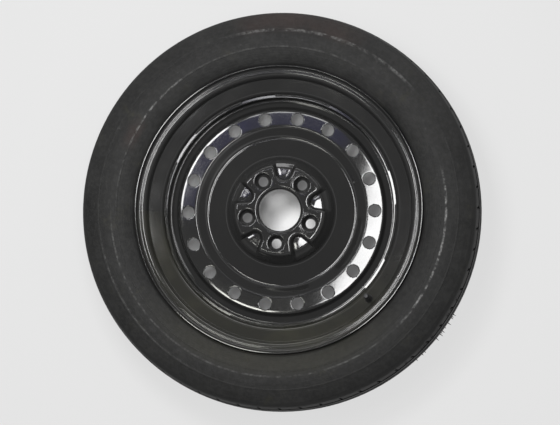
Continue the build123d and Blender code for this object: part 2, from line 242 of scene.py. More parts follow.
def setFloor():
    half = studio["floorSize"] / 2
    low = cadBox[0][2]
    mesh = bpy.data.meshes.new("floor")
    corners = [(-half, -half, low), (half, -half, low), (half, half, low), (-half, half, low)]
    mesh.from_pydata(corners, [], [(0, 1, 2, 3)])
    floor = bpy.data.objects.new("floor", mesh)
    scene.collection.objects.link(floor)
    material, shader, place = newFinish("floorPaper")
    grain = place.noise(studio["floorGrain"], 3)
    least, more = studio["floorRough"]
    feed(shader, Base_Color=studio["floorColour"], Roughness=least + more * grain)
    # part of what is seen of the floor is its own pale colour, which lifts the shadows
    seen = place.node("ShaderNodeLightPath", {}, {}, "Is Camera Ray")
    rays = seen + seen.output("Is Glossy Ray") + seen.output("Is Transmission Ray")
    inside, outside = studio["floorGlow"]
    share = inside + (outside - inside) * wheelPlace(place)[0].rise(*studio["floorGlowFrom"])
    share = seen.maths("MINIMUM", rays, 1.0) * share
    glow = place.node("ShaderNodeEmission", {}, {"Color": studio["glowColour"], "Strength": 1.0})
    lit = Wire(place.tree, shader.outputs["BSDF"])
    both = place.node("ShaderNodeMixShader", {}, {0: share, 1: lit, 2: glow})
    # from below the floor is clear, so the wheel's back can be seen
    below = place.node("ShaderNodeNewGeometry", {}, {}, "Backfacing")
    clear = place.node("ShaderNodeBsdfTransparent")
    both = place.node("ShaderNodeMixShader", {}, {0: below, 1: both, 2: clear})
    ending = next(n for n in material.node_tree.nodes if n.type == "OUTPUT_MATERIAL")
    material.node_tree.links.new(both.socket, ending.inputs["Surface"])
    mesh.materials.append(material)


# the room: a dim ceiling, brighter walls and a low window
def setRoom():
    world = bpy.data.worlds.new("studioRoom")
    world.use_nodes = True
    tree = world.node_tree
    tree.nodes.clear()
    way = Wire(tree, tree.nodes.new("ShaderNodeTexCoord").outputs["Generated"])
    across = way.node("ShaderNodeSeparateXYZ", {}, {0: way})
    along, upward = across.output(1), across.output(2)
    level = (across * across + along * along) ** 0.5

    def between(low, lowEnd, high, highEnd):
        return upward.rise(low, lowEnd) * (1 - upward.rise(high, highEnd))

    glow = studio["overhead"] + between(*studio["wallRise"]) * studio["wallGlow"]
    turn = math.radians(studio["windowAzimuth"])
    facing = (across * math.cos(turn) + along * math.sin(turn)) / level
    opened = facing.rise(*[math.cos(math.radians(edge)) for edge in studio["windowHalf"]])
    glow = glow + opened * between(*studio["windowRise"]) * studio["windowGlow"]
    room = way.node("ShaderNodeBackground", {}, {"Color": glow, "Strength": 1.0})
    paper = way.node("ShaderNodeBackground", {}, {"Color": studio["glowColour"], "Strength": 1.0})
    seen = way.node("ShaderNodeLightPath", {}, {}, "Is Camera Ray")
    backdrop = way.node("ShaderNodeMixShader", {}, {0: seen, 1: room, 2: paper})
    ending = tree.nodes.new("ShaderNodeOutputWorld")
    tree.links.new(backdrop.socket, ending.inputs["Surface"])
    scene.world = world


# each softbox hangs a little higher than the one before, so none hides another
def setSoftboxes():
    for number, (name, box) in enumerate(studio["softboxes"].items()):
        centre, size, turn, power, tint, mirrored = box
        lamp = bpy.data.lights.new(name, "AREA")
        lamp.shape = "RECTANGLE"
        lamp.size, lamp.size_y = size
        lamp.energy = power
        lamp.color = tint
        softbox = bpy.data.objects.new(name, lamp)
        softbox.location = (*centre, studio["boxHeight"] + studio["boxStep"] * number)
        softbox.rotation_euler = (0, 0, math.radians(turn))
        softbox.visible_glossy = mirrored
        scene.collection.objects.link(softbox)


scene.view_settings.view_transform = "Standard"
setFloor()
setRoom()
setSoftboxes()
print("stage: camera, floor and light")


# gloss black paint on pressed and rolled steel
paintLook = {
    "black": rgb(0.012, 0.012, 0.012),
    "dust": rgb(0.050, 0.048, 0.042),
    "dustShare": 0.16,
    "film": rgb(0.034, 0.033, 0.020),
    "filmPlace": (0.198, 0.242, 0.008),
    "filmSpan": (-175, -35, 25),
    "filmShare": 0.45,
    # painted reflection: a lighter band on the hub's tower wall, standing in for the room light its
    # slope would mirror
    "paintedSheen": rgb(0.045, 0.045, 0.045),
    "paintedSheenPlace": (0.080, 0.093, 0.005),
    "paintedSheenShare": 0.35,
    "gloss": 0.055,
    "smear": 0.09,
    "speck": 0.0035,
    "drawLine": 0.0011,
    "drawDepth": 0.04,
    "peel": 0.0012,
    "peelHeight": 0.000006,
}


def paintFinish(name):
    material, shader, place = newFinish(name)
    radius, angle, height = wheelPlace(place)
    smear = place.noise(paintLook["smear"], 4, 0.6).rise(0.42, 0.72)
    speck = place.noise(paintLook["speck"], 3, 0.7).rise(0.55, 0.85)
    dust = (smear * 0.6 + 0.15) * (0.35 + 0.65 * speck)
    peel = place.noise(paintLook["peel"], 2)
    lines = (radius + height * 0.6).noiseAlong(paintLook["drawLine"], 3)
    relief = peel + lines * paintLook["drawDepth"]
    # painted reflection: the tower wall's band, lighter than the black paint
    paintedSheen = radius.band(*paintLook["paintedSheenPlace"]) * paintLook["paintedSheenShare"]
    base = (dust * paintLook["dustShare"]).colour(paintLook["black"], paintLook["dust"])
    span = angle.band(*[math.radians(turn) for turn in paintLook["filmSpan"]])
    film = span * radius.band(*paintLook["filmPlace"]) * (0.4 + 0.6 * smear)
    base = (film * paintLook["filmShare"]).colour(base, paintLook["film"])
    feed(
        shader,
        Base_Color=paintedSheen.colour(base, paintLook["paintedSheen"]),
        Roughness=paintLook["gloss"] + 0.03 * smear + 0.05 * dust,
        Normal=relief.bump(paintLook["peelHeight"]),
    )
    return material


discPaint = paintFinish("discPaint")
rimPaint = paintFinish("rimPaint")


# moulded tyre rubber; scuffs with painted highlights (lighter arcs on the sidewall's ribs) and
# stains: radius, half width, from and to in degrees, strength
tyreLook = {
    "black": rgb(0.0055, 0.0055, 0.0055),
    "bloom": rgb(0.022, 0.022, 0.0215),
    "dirt": rgb(0.026, 0.025, 0.015),
    "rust": rgb(0.040, 0.020, 0.016),
    "wearAndHighlight": rgb(0.150, 0.150, 0.148),
    "rough": 0.62,
    "specular": 0.35,
    "cloud": 0.07,
    "fine": 0.006,
    "grain": 0.0009,
    "grainHeight": 0.00014,
    "mottle": 0.0075,
    "rings": 0.0016,
    "patches": (0.05, 0.012),
    "dashes": (0.011, 0.0035),
    "sidewall": (0.252, 0.333, 0.002),
    "tread": (0.334, 0.337),
    "outerSide": (-0.01, 0.01),
    "speckPlace": (0.284, 0.316, 0.006),
    "scuffsAndHighlights": [
        (0.2885, 0.0018, -42, 10, 0.80),
        (0.2875, 0.0014, -175, -50, 0.24),
        (0.2790, 0.0018, 128, 158, 0.42),
        (0.2790, 0.0014, 60, 178, 0.16),
        (0.3080, 0.0024, 44, 104, 0.36),
        (0.3080, 0.0014, -170, -120, 0.20),
    ],
    "stains": [
        (0.3250, 0.0180, 64, 102, 0.30),
        (0.2820, 0.0110, 148, 156, 0.40),
    ],
    "dirtyFoot": (0.250, 0.284, -135, -50, 0.5),
}


def tyreFinish():
    material, shader, place = newFinish("tyreRubber")
    radius, angle, height = wheelPlace(place)
    cloud = place.noise(tyreLook["cloud"], 5, 0.6).rise(0.35, 0.75)
    fine = place.noise(tyreLook["fine"], 4, 0.65)
    grain = place.noise(tyreLook["grain"], 3, 0.6)
    mottle = place.noise(tyreLook["mottle"], 4, 0.7)
    rings = radius.noiseAlong(tyreLook["rings"], 2)
    sidewall = radius.band(*tyreLook["sidewall"])
    tread = radius.rise(*tyreLook["tread"])
    blotches = mottle.rise(0.42, 0.60) * sidewall
    relief = grain * 0.5 + rings * sidewall * 0.9 + fine * 0.5 + blotches * 0.95
    front = height.rise(*tyreLook["outerSide"])

    # a stretch of a ring on the outer side, ragged at its ends
    def arc(middle, half, start, end, soft, ends):
        return front * radius.band(middle - half, middle + half, soft) * angle.band(
            math.radians(start), math.radians(end), math.radians(ends)
        )

    base = (cloud * 0.4 + fine * 0.35 + blotches * 0.27 + rings * 0.45 - 0.28).colour(
        tyreLook["black"], tyreLook["bloom"]
    )
    large, small = tyreLook["patches"]
    patches = place.noise(large, 3, 0.6).rise(0.56, 0.72) * place.noise(small, 3, 0.6).rise(0.4, 0.7)
    low, high, start, end, strength = tyreLook["dirtyFoot"]
    foot = arc((low + high) / 2, (high - low) / 2, start, end, 0.012, 18) * strength
    base = (patches * 0.4 + foot * (0.3 + 0.5 * fine)).colour(base, tyreLook["dirt"])
    for middle, half, start, end, strength in tyreLook["stains"]:
        stain = arc(middle, half, start, end, half * 0.6, 4) * (0.3 + 0.7 * cloud)
        base = (stain * strength).colour(base, tyreLook["rust"])
    large, small = tyreLook["dashes"]
    dashes = place.noise(large, 3, 0.6).rise(0.38, 0.60)
    dashes = dashes * (0.5 + place.noise(small, 2).rise(0.40, 0.60))
    wearAndHighlight = 0.0
    # painted highlights mixed with wear: lighter arcs along the sidewall's ribs, standing in for the
    # light they catch, broken into dashes
    for middle, half, start, end, strength in tyreLook["scuffsAndHighlights"]:
        wearAndHighlight = wearAndHighlight + arc(middle, half, start, end, half * 0.5, 6) * strength
    speckled = radius.band(*tyreLook["speckPlace"])
    specks = mottle.rise(0.62, 0.72) * fine.rise(0.5, 0.62) * speckled * 0.16
    base = (wearAndHighlight * dashes * 0.75 + specks).colour(base, tyreLook["wearAndHighlight"])
    feed(
        shader,
        Base_Color=base,
        Roughness=tyreLook["rough"] + 0.14 * cloud - 0.10 * grain + 0.08 * tread,
        Normal=relief.bump(tyreLook["grainHeight"]),
    )
    shader.inputs["Specular IOR Level"].default_value = tyreLook["specular"]
    return material


tyreRubber = tyreFinish()


# smooth moulded rubber of the valve and the seals
rubberLook = {
    "black": rgb(0.016, 0.016, 0.016),
    "bloom": rgb(0.045, 0.045, 0.046),
    "rough": 0.48,
    "cloud": 0.006,
    "grain": 0.0004,
    "grainHeight": 0.00003,
}


def rubberFinish(name):
    material, shader, place = newFinish(name)
    cloud = place.noise(rubberLook["cloud"], 4, 0.6)
    grain = place.noise(rubberLook["grain"], 3, 0.6)
    feed(
        shader,
        Base_Color=cloud.rise(0.4, 0.8).colour(rubberLook["black"], rubberLook["bloom"]),
        Roughness=rubberLook["rough"] + 0.2 * cloud,
        Normal=(grain + cloud * 0.5).bump(rubberLook["grainHeight"]),
    )
    return material


valveRubber = rubberFinish("valveRubber")
sealRubber = rubberFinish("sealRubber")


# turned brass and drawn steel wire
metalLook = {
    "brass": (rgb(0.72, 0.50, 0.22), rgb(0.45, 0.29, 0.11)),
    "steel": (rgb(0.56, 0.56, 0.57), rgb(0.30, 0.29, 0.28)),
    "rough": 0.24,
    "stain": 0.004,
    "turning": 0.00012,
    "turningHeight": 0.000024,
}

# the valve's axis, and the point on it that its pieces are drawn from
valveAxis = Vector((-0.15731797, 0.15731797, 0.97493698))
valveFoot = Vector((0.15332975, -0.15332975, 0.03712155))
valvePlace = Matrix.Translation(valveFoot) @ valveAxis.to_track_quat("Z", "Y").to_matrix().to_4x4()


def metalFinish(name, colours):
    material, shader, place = newFinish(name)
    product = {"operation": "DOT_PRODUCT"}
    along = place.node("ShaderNodeVectorMath", product, {0: place, 1: valveAxis}, 1)
    stain = place.noise(metalLook["stain"], 4, 0.6).rise(0.4, 0.75)
    turning = along.noiseAlong(metalLook["turning"], 2)
    feed(
        shader,
        Base_Color=stain.colour(colours[0], colours[1]),
        Metallic=1.0,
        Roughness=metalLook["rough"] + 0.2 * stain + 0.08 * turning,
        Normal=turning.bump(metalLook["turningHeight"]),
    )
    return material


stemBrass = metalFinish("stemBrass", metalLook["brass"])
coreBrass = metalFinish("coreBrass", metalLook["brass"])
springSteel = metalFinish("springSteel", metalLook["steel"])


# moulded plastic of the valve's cap
capLook = {
    "black": rgb(0.020, 0.020, 0.021),
    "scuff": rgb(0.075, 0.075, 0.076),
    "rough": 0.36,
    "cloud": 0.005,
    "grain": 0.00035,
    "grainHeight": 0.00003,
}


def capFinish():
    material, shader, place = newFinish("capPlastic")
    cloud = place.noise(capLook["cloud"], 4, 0.65)
    grain = place.noise(capLook["grain"], 2)
    scuff = cloud.rise(0.52, 0.75)
    feed(
        shader,
        Base_Color=(scuff * 0.6).colour(capLook["black"], capLook["scuff"]),
        Roughness=capLook["rough"] + 0.22 * scuff + 0.1 * grain,
        Normal=grain.bump(capLook["grainHeight"]),
    )
    return material


capPlastic = capFinish()

solidFinishes = {
    "tyre": tyreRubber,
    "rim": rimPaint,
    "disc": discPaint,
    "weld_beads": discPaint,
    "valve_body": valveRubber,
    "valve_stem": stemBrass,
    "core_plug": coreBrass,
    "core_barrel": coreBrass,
    "core_gasket": sealRubber,
    "core_spring": springSteel,
    "core_pin": coreBrass,
    "plunger_seal": sealRubber,
    "valve_cap": capPlastic,
    "cap_seal": sealRubber,
}
for name, material in solidFinishes.items():
    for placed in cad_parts[name].material_slots:
        placed.material = material
print("finishes on", len(solidFinishes), "solids")


# the pressed disc: one sheet, its outer face drawn from the bore to the flange's edge (mm)
discShape = {
    "wall": 4.5,
    "line": [
        (35.75, 27.5), (35.75, 40), (78, 40), (93, 9), (129, 1), (147.5, 11.5),
        (172.6, 11.5), (176.4, 11.354), (181.5, 5.5), (195.9, 4), (195.9, 28),
    ],
    "bends": [6.5, 8, 9, 11, 8, 12, 3.5, 3.5, 4],
    "turnStep": 6.0,
    "runStep": 4.0,
    "around": 300,
    "hubFrom": 44.0,
    "hubTo": 93.0,
    "bandFrom": 149.6,
    "bandTo": 174.4,
    "ventCount": 18,
    "ventCircle": 161.5,
    "ventRadius": 10.5,
    "ventRoll": 0.9,
    "rollFullness": 0.75,
    "backRoll": 0.4,
    "lugCount": 5,
    "lugCircle": 57.5,
    "lugStart": 48.0,
    "lugRadius": 8.5,
    "dish": (15.0, 21.5, 0.2),
    "seatFoot": 30.0,
    "seatSlope": math.tan(math.radians(60)),
    "mountHeight": 27.0,
    "lugFormRadius": 11.94,
    "pocketStart": 84.0,
    "apexPlace": 64.5,
    "apexRadius": 9.4,
    "mouth": (83.0, 16.9),
    "pocketFloor": 31.5,
    "pocketSlope": 1 / math.tan(math.radians(27)),
    "formGrowth": 2.76,
    "edgeSoft": 6.0,
    "floorSoft": 1.6,
    "floorTilt": 0.05,
    "rampFrom": 74.0,
    "rampSlope": math.tan(math.radians(31)),
    "rampSoft": 0.8,
    "seatSoft": 0.7,
    "backFloorSoft": 0.8,
    "backEdgeSoft": 1.5,
    "backSeatSoft": 0.6,
    "backFoldSoft": 1.0,
    "edgeRoll": 0.5,
    "smoothBelow": 38,
    # where its points lie: sides of a hole, rings outside it (distance, points), spacing,
    # least gap, and the share of a hole's radius that holds no face
    "lugSides": 40,
    "lugRings": (
        (0.7, 40), (1.7, 40), (3.0, 44), (4.3, 48), (5.4, 52), (6.1, 56), (6.8, 56), (7.8, 56),
    ),
    "pocketRings": (-2.2, -1.4, -0.7, 0.0, 0.7, 1.4, 2.1, 2.8, 3.4, 4.0, 4.7, 5.5),
    "hubSpacing": 1.45,
    "hubGap": 0.52 * 1.45,
    "lugClear": 0.995,
    "ventSides": 44,
    "ventRings": ((0.3, 44), (0.6, 44), (0.95, 44), (2.0, 44)),
    "bandSpacing": 1.9,
    "bandGap": 0.28,
    "ventClear": 0.996,
    "chordSlack": 0.9998,
}


# points and normals along a line whose corners are rounded, the normals to its right
def roundedLine(corners, bends, turnStep, runStep):
    corners = [Vector(c) for c in corners]
    spots = []

    def run(start, end):
        along = end - start
        count = max(1, math.ceil(along.length / runStep))
        across = Vector((along.y, -along.x)).normalized()
        for i in range(count + 1):
            spots.append((start + along * (i / count), across))

    here = corners[0]
    for before, corner, after, bend in zip(corners, corners[1:], corners[2:], bends):
        arriving = (corner - before).normalized()
        leaving = (after - corner).normalized()
        turn = math.atan2(arriving.cross(leaving), arriving.dot(leaving))
        reach = bend * math.tan(abs(turn) / 2)
        run(here, corner - arriving * reach)
        side = 1 if turn > 0 else -1
        centre = corner - arriving * reach + Vector((-arriving.y, arriving.x)) * bend * side
        count = max(2, math.ceil(math.degrees(abs(turn)) / turnStep))
        for i in range(1, count):
            way = Matrix.Rotation(turn * i / count, 2) @ arriving
            across = Vector((way.y, -way.x))
            spots.append((centre + across * bend * side, across))
        here = corner + leaving * reach
    run(here, corners[-1])
    kept = [spots[0]]
    for spot in spots[1:]:
        if (spot[0] - kept[-1][0]).length > 1e-4:
            kept.append(spot)
    return kept


# the lower of two heights, with a soft fold where they meet
def smoothLower(a, b, soft):
    share = np.clip(0.5 + 0.5 * (b - a) / soft, 0, 1)
    return b * (1 - share) + a * share - soft * share * (1 - share)


# 0 below nought, rising one for one above it, soft at the foot
def softRamp(d, soft):
    return 0.5 * (d + np.sqrt(d * d + 4 * soft * soft)) - soft * np.exp(-np.abs(d) / (2 * soft))


# signed distance from a pocket's floor outline, for points turned to the pocket's own axis
def pocketDistance(along, across):
    shape = discShape
    apex = np.array((shape["apexPlace"], 0.0))
    mouth = np.array(shape["mouth"])
    reach = mouth - apex
    turn = math.atan2(reach[1], reach[0]) + math.acos(shape["apexRadius"] / np.hypot(*reach))
    start = apex + shape["apexRadius"] * np.array((math.cos(turn), math.sin(turn)))
    side = (mouth - start) / np.hypot(*(mouth - start))
    outward = np.array((-side[1], side[0]))
    across = np.abs(across)
    past = (along - start[0]) * side[0] + (across - start[1]) * side[1]
    beside = (along - start[0]) * outward[0] + (across - start[1]) * outward[1]
    rounded = np.hypot(along - apex[0], across) - shape["apexRadius"]
    return np.where(past < 0, rounded, beside)


# angle from the nearest of some evenly spaced places
def nearestTurn(angle, count, start):
    step = 2 * math.pi / count
    return (angle - math.radians(start) + step / 2) % step - step / 2


def pocketGap(x, y):
    turn = nearestTurn(np.arctan2(y, x), discShape["lugCount"], discShape["pocketStart"])
    radius = np.hypot(x, y)
    return pocketDistance(radius * np.cos(turn), radius * np.sin(turn))


def ringGap(x, y, count, start, circle):
    radius, turn = np.hypot(x, y), nearestTurn(np.arctan2(y, x), count, start)
    return np.hypot(radius * np.cos(turn) - circle, radius * np.sin(turn))


def lugGap(x, y):
    return ringGap(x, y, discShape["lugCount"], discShape["lugStart"], discShape["lugCircle"])


def ventGap(x, y):
    return ringGap(x, y, discShape["ventCount"], 0.0, discShape["ventCircle"])


def circlePoints(centre, radius, count, turn=0.0):
    angles = turn + np.arange(count) * 2 * math.pi / count
    return np.c_[centre[0] + radius * np.cos(angles), centre[1] + radius * np.sin(angles)]


# points in order of rank: a later point too near an earlier one is left out
def thinned(groups, gap):
    cells, kept = {}, []
    for points, fixed in groups:
        for point in points:
            cell = (int(point[0] // gap), int(point[1] // gap))
            near = [
                q
                for i in (-1, 0, 1)
                for j in (-1, 0, 1)
                for q in cells.get((cell[0] + i, cell[1] + j), ())
            ]
            if not fixed and any(math.dist(point, q) < gap for q in near):
                continue
            cells.setdefault(cell, []).append(point)
            kept.append(point)
    return np.array(kept)


# a flat ring of triangles between two circles, with holes; loops are the circles and holes in order
def ringMesh(loops, groups, gap, inside):
    points = thinned([(loop, True) for loop in loops] + [(g, False) for g in groups], gap)
    edges, first = [], 0
    for loop in loops:
        count = len(loop)
        edges += [(first + i, first + (i + 1) % count) for i in range(count)]
        first += count
    made = delaunay_2d_cdt([Vector(p) for p in points], edges, [], 0, 1e-7)
    flat = np.array([tuple(v) for v in made[0]])
    faces = np.array(made[2])
    middle = flat[faces].mean(1)
    return flat, faces[inside(middle[:, 0], middle[:, 1])]


# points in mm and faces, gathered into one mesh
class Sheet:
    def __init__(self):
        self.spots = []
        self.faces = []
        self.count = 0

    def add(self, spots, faces):
        self.spots.append(np.asarray(spots, float))
        self.faces += [tuple(int(i) + self.count for i in f) for f in faces]
        self.count += len(spots)

    # rings of one profile turned about the axis; flip turns the faces over
    def addRings(self, profile, around, flip):
        angles = np.arange(around) * 2 * math.pi / around
        spots = [(r * np.cos(angles), r * np.sin(angles), np.full(around, z)) for r, z in profile]
        spots = np.concatenate([np.stack(s, 1) for s in spots])
        faces = []
        for i in range(len(profile) - 1):
            for j in range(around):
                k = (j + 1) % around
                face = (i * around + j, i * around + k, (i + 1) * around + k, (i + 1) * around + j)
                faces.append(face[::-1] if flip else face)
        self.add(spots, faces)

    def mesh(self, name, merge=0.001):
        made = bpy.data.meshes.new(name)
        made.from_pydata((np.concatenate(self.spots) * mm).tolist(), [], self.faces)
        form = bmesh.new()
        form.from_mesh(made)
        bmesh.ops.remove_doubles(form, verts=form.verts, dist=merge * mm)
        bmesh.ops.recalc_face_normals(form, faces=form.faces)
        form.to_mesh(made)
        form.free()
        return made


def smoothShade(mesh, degrees):
    mesh.polygons.foreach_set("use_smooth", np.ones(len(mesh.polygons), bool))
    mesh.set_sharp_from_angle(angle=math.radians(degrees))


def addPiece(name, mesh, material, body, nodes=()):
    if material is not None:
        mesh.materials.clear()
        mesh.materials.append(material)
    piece = bpy.data.objects.new(name, mesh)
    scene.collection.objects.link(piece)
    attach(piece, body)
    if nodes:
        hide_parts(*nodes)
    return piece


# lines of points that keep one distance from the pockets' floor outlines
def pocketContours(gap, inner, outer, step):
    shape = discShape
    apex = Vector((shape["apexPlace"], 0))
    mouth = Vector(shape["mouth"])
    reach = mouth - apex
    turn = math.atan2(reach.y, reach.x) + math.acos(shape["apexRadius"] / reach.length)
    radius = shape["apexRadius"] + gap
    count = max(8, int(2 * turn * radius / step))
    line = [
        (apex.x + radius * math.cos(a), radius * math.sin(a))
        for a in np.linspace(turn, 2 * math.pi - turn, count)
    ]
    outward = Vector((math.cos(turn), math.sin(turn)))
    side = (mouth - apex - shape["apexRadius"] * outward).normalized()
    start = apex + radius * outward
    for i in range(1, 60):  # runs past the hub, and what lies outside it is dropped
        spot = start + side * step * i
        line += [(spot.x, spot.y), (spot.x, -spot.y)]
    margin = 0.5
    line = np.array([p for p in line if inner + margin < math.hypot(*p) < outer - margin])
    groups = []
    for k in range(shape["lugCount"]):
        a = math.radians(shape["pocketStart"] + 360 / shape["lugCount"] * k)
        turned = np.array(((math.cos(a), math.sin(a)), (-math.sin(a), math.cos(a))))
        groups.append(line @ turned)
    return groups


def makeDisc():
    shape = discShape
    around = shape["around"]
    line = roundedLine(shape["line"], shape["bends"], shape["turnStep"], shape["runStep"])
    front = np.array([tuple(p) for p, n in line])
    back = np.array([tuple(p + n * shape["wall"]) for p, n in line])

    def frontHeight(r):
        return np.interp(r, front[2:-2, 0], front[2:-2, 1])

    def backHeight(r):
        return np.interp(r, back[2:-2, 0], back[2:-2, 1])

    # how far a pocket's floor has dropped towards its mouth
    def ramp(radius):
        return shape["rampSlope"] * softRamp(radius - shape["rampFrom"], shape["rampSoft"])

    def hubFront(x, y):
        radius = np.hypot(x, y)
        dishFrom, dishTo, dishDepth = shape["dish"]
        dished = np.clip((dishTo - lugGap(x, y)) / (dishTo - dishFrom), 0, 1)
        z = frontHeight(radius) - dishDepth * dished * dished * (3 - 2 * dished)
        floor = shape["pocketFloor"] - shape["floorTilt"] * (radius - shape["apexPlace"])
        floor = floor - ramp(radius)
        wall = shape["pocketSlope"] * softRamp(pocketGap(x, y), shape["floorSoft"])
        z = smoothLower(z, floor + wall, shape["edgeSoft"])
        cone = shape["seatFoot"] + shape["seatSlope"] * (lugGap(x, y) - shape["lugRadius"])
        return smoothLower(z, cone, shape["seatSoft"])

    def hubBack(x, y):
        radius = np.hypot(x, y)
        wall = softRamp(pocketGap(x, y) - shape["formGrowth"], shape["backFloorSoft"])
        floor = shape["mountHeight"] - ramp(radius) + shape["pocketSlope"] * wall
        z = smoothLower(backHeight(radius), floor, shape["backEdgeSoft"])
        form = softRamp(lugGap(x, y) - shape["lugFormRadius"], shape["backSeatSoft"])
        return smoothLower(z, shape["mountHeight"] + shape["seatSlope"] * form, shape["backFoldSoft"])

    def bandRoll(x, y):
        d = np.clip(1 - (ventGap(x, y) - shape["ventRadius"]) / shape["ventRoll"], 0, 1)
        return shape["ventRoll"] * (1 - np.sqrt(np.clip(1 - d * d * shape["rollFullness"], 0, 1)))

    def bandFront(x, y):
        return frontHeight(np.hypot(x, y)) - bandRoll(x, y)

    def bandBack(x, y):
        return backHeight(np.hypot(x, y)) + bandRoll(x, y) * shape["backRoll"]

    sheet = Sheet()

    # both faces of the sheet between two circles, with the walls of its holes
    def pressRing(ends, holes, groups, gap, clear, top, bottom):
        loops = [circlePoints((0, 0), radius, around) for radius in ends] + holes

        def inside(x, y):
            radius = np.hypot(x, y)
            return (radius > ends[0] * shape["chordSlack"]) & (radius < ends[1]) & clear(x, y)

        flat, faces = ringMesh(loops, groups, gap, inside)
        sheet.add(np.c_[flat, top(*flat.T)], faces)
        sheet.add(np.c_[flat, bottom(*flat.T)], faces[:, ::-1])
        for hole in holes:
            count = len(hole)
            spots = np.concatenate([np.c_[hole, top(*hole.T)], np.c_[hole, bottom(*hole.T)]])
            after = [(i + 1) % count for i in range(count)]
            sheet.add(spots, [(i, after[i], count + after[i], count + i) for i in range(count)])

    # outlines of the holes of one circle, and rings of points round each
    def holeRings(circle, turns, radius, sides, rings):
        centres = [(circle * math.cos(a), circle * math.sin(a)) for a in turns]
        holes = [circlePoints(c, radius, sides) for c in centres]
        return holes, [circlePoints(c, radius + out, count) for out, count in rings for c in centres]

    def ringGroup(inner, outer, step):
        radii = np.arange(inner + step, outer - step / 2, step)
        groups = []
        for i, r in enumerate(radii):
            count = int(2 * math.pi * r / step)
            groups.append(circlePoints((0, 0), r, count, i * 0.5 * 2 * math.pi / count))
        return groups

    # hub pad with its nut seats and pockets
    ends, lugs = (shape["hubFrom"], shape["hubTo"]), shape["lugCount"]
    turns = [math.radians(shape["lugStart"] + 360 / lugs * k) for k in range(lugs)]
    holes, groups = holeRings(
        shape["lugCircle"], turns, shape["lugRadius"], shape["lugSides"], shape["lugRings"]
    )
    for gap in shape["pocketRings"]:
        groups += pocketContours(gap, *ends, shape["hubSpacing"])
    groups += ringGroup(*ends, shape["hubSpacing"])
    lugEdge = shape["lugRadius"] * shape["lugClear"]

    def offLugs(x, y):
        return lugGap(x, y) > lugEdge

    pressRing(ends, holes, groups, shape["hubGap"], offLugs, hubFront, hubBack)

    # vent band
    ends, vents = (shape["bandFrom"], shape["bandTo"]), shape["ventCount"]
    turns = [2 * math.pi * k / vents for k in range(vents)]
    holes, groups = holeRings(
        shape["ventCircle"], turns, shape["ventRadius"], shape["ventSides"], shape["ventRings"]
    )
    groups += ringGroup(*ends, shape["bandSpacing"])
    ventEdge = shape["ventRadius"] * shape["ventClear"]

    def offVents(x, y):
        return ventGap(x, y) > ventEdge

    pressRing(ends, holes, groups, shape["bandGap"], offVents, bandFront, bandBack)

    # plain turned stretches: bore collar, tower with valley, gutter with flange
    def stretch(points, low, high, height, collar, flange):
        kept = [tuple(p) for p in points if low < p[0] < high]
        start = [] if collar else [(low, float(height(low)))]
        end = [] if flange else [(high, float(height(high)))]
        return start + kept + end

    # the collar's and flange's edges, with a small rolled corner
    collarFront = stretch(front, 0, shape["hubFrom"], frontHeight, True, False)
    collarBack = stretch(back, 0, shape["hubFrom"], backHeight, True, False)
    collarBack = [(collarBack[0][0], collarFront[0][1])] + collarBack[1:]
    roll = shape["edgeRoll"]
    collarEdge = [
        (collarBack[0][0], collarBack[0][1] + roll),
        (collarBack[0][0] - roll, collarBack[0][1]),
        (collarFront[0][0] + roll, collarFront[0][1]),
        (collarFront[0][0], collarFront[0][1] + roll),
    ]
    sheet.addRings(collarBack[:0:-1] + collarEdge + collarFront[1:], around, True)
    towerFront = stretch(front, shape["hubTo"], shape["bandFrom"], frontHeight, False, False)
    towerBack = stretch(back, shape["hubTo"], shape["bandFrom"], backHeight, False, False)
    sheet.addRings(towerFront, around, True)
    sheet.addRings(towerBack, around, False)
    flangeFront = stretch(front, shape["bandTo"], 1e3, frontHeight, False, True)
    flangeBack = stretch(back, shape["bandTo"], 1e3, backHeight, False, True)
    top, inside, outside = flangeFront[-1][1], flangeFront[-1][0], flangeBack[-1][0]
    flangeEdge = [
        (inside, top - roll),
        (inside + roll, top),
        (outside - roll, top),
        (outside, top - roll),
    ]
    sheet.addRings(flangeFront[:-1] + flangeEdge + flangeBack[-2::-1], around, True)
    mesh = sheet.mesh("pressedDisc")
    smoothShade(mesh, shape["smoothBelow"])
    return addPiece("pressedDisc", mesh, discPaint, "wheel", ["disc"])


disc = makeDisc()
print("disc:", len(disc.data.polygons), "faces")


# the rolled rim: its tyre side drawn from lip to lip (mm)
rimShape = {
    "wall": 3.0,
    "line": [
        (248.3, 62.0), (248.3, 50.3), (231.0, 51.3), (229.793, 37.0), (203.5, 31.0),
        (203.5, -4.0), (228.655, -24.0), (231.0, -50.8), (248.3, -50.8), (248.3, -62.0),
    ],
    "bends": [9.5, 6.5, 5, 7, 14, 10, 6.5, 9.5],
    "lipRound": 1.2,
    "lipSteps": 4,
    "turnStep": 6.0,
    "runStep": 12.0,
    "around": 288,
}


def cornerArc(centre, radius, start, end, count):
    turns = [math.radians(start + (end - start) * i / count) for i in range(count + 1)]
    ways = [Vector((math.cos(t), math.sin(t))) for t in turns]
    return [(centre + way * radius, way) for way in ways]


# a closed outline with its normals, turned about the wheel's axis
def turnedMesh(name, outline, around):
    angles = np.arange(around) * 2 * math.pi / around
    cosines, sines = np.cos(angles), np.sin(angles)
    spots, normals = [], []
    for spot, way in outline:
        spots.append(np.stack((spot.x * cosines, spot.x * sines, np.full(around, spot.y)), 1))
        normals.append(np.stack((way.x * cosines, way.x * sines, np.full(around, way.y)), 1))
    count = len(outline)
    faces = []
    for i in range(count):
        n = (i + 1) % count
        for j in range(around):
            k = (j + 1) % around
            faces.append((i * around + j, i * around + k, n * around + k, n * around + j))
    mesh = bpy.data.meshes.new(name)
    mesh.from_pydata((np.concatenate(spots) * mm).tolist(), [], faces)
    mesh.polygons.foreach_set("use_smooth", np.ones(len(faces), bool))
    mesh.normals_split_custom_set_from_vertices(np.concatenate(normals).tolist())
    return mesh


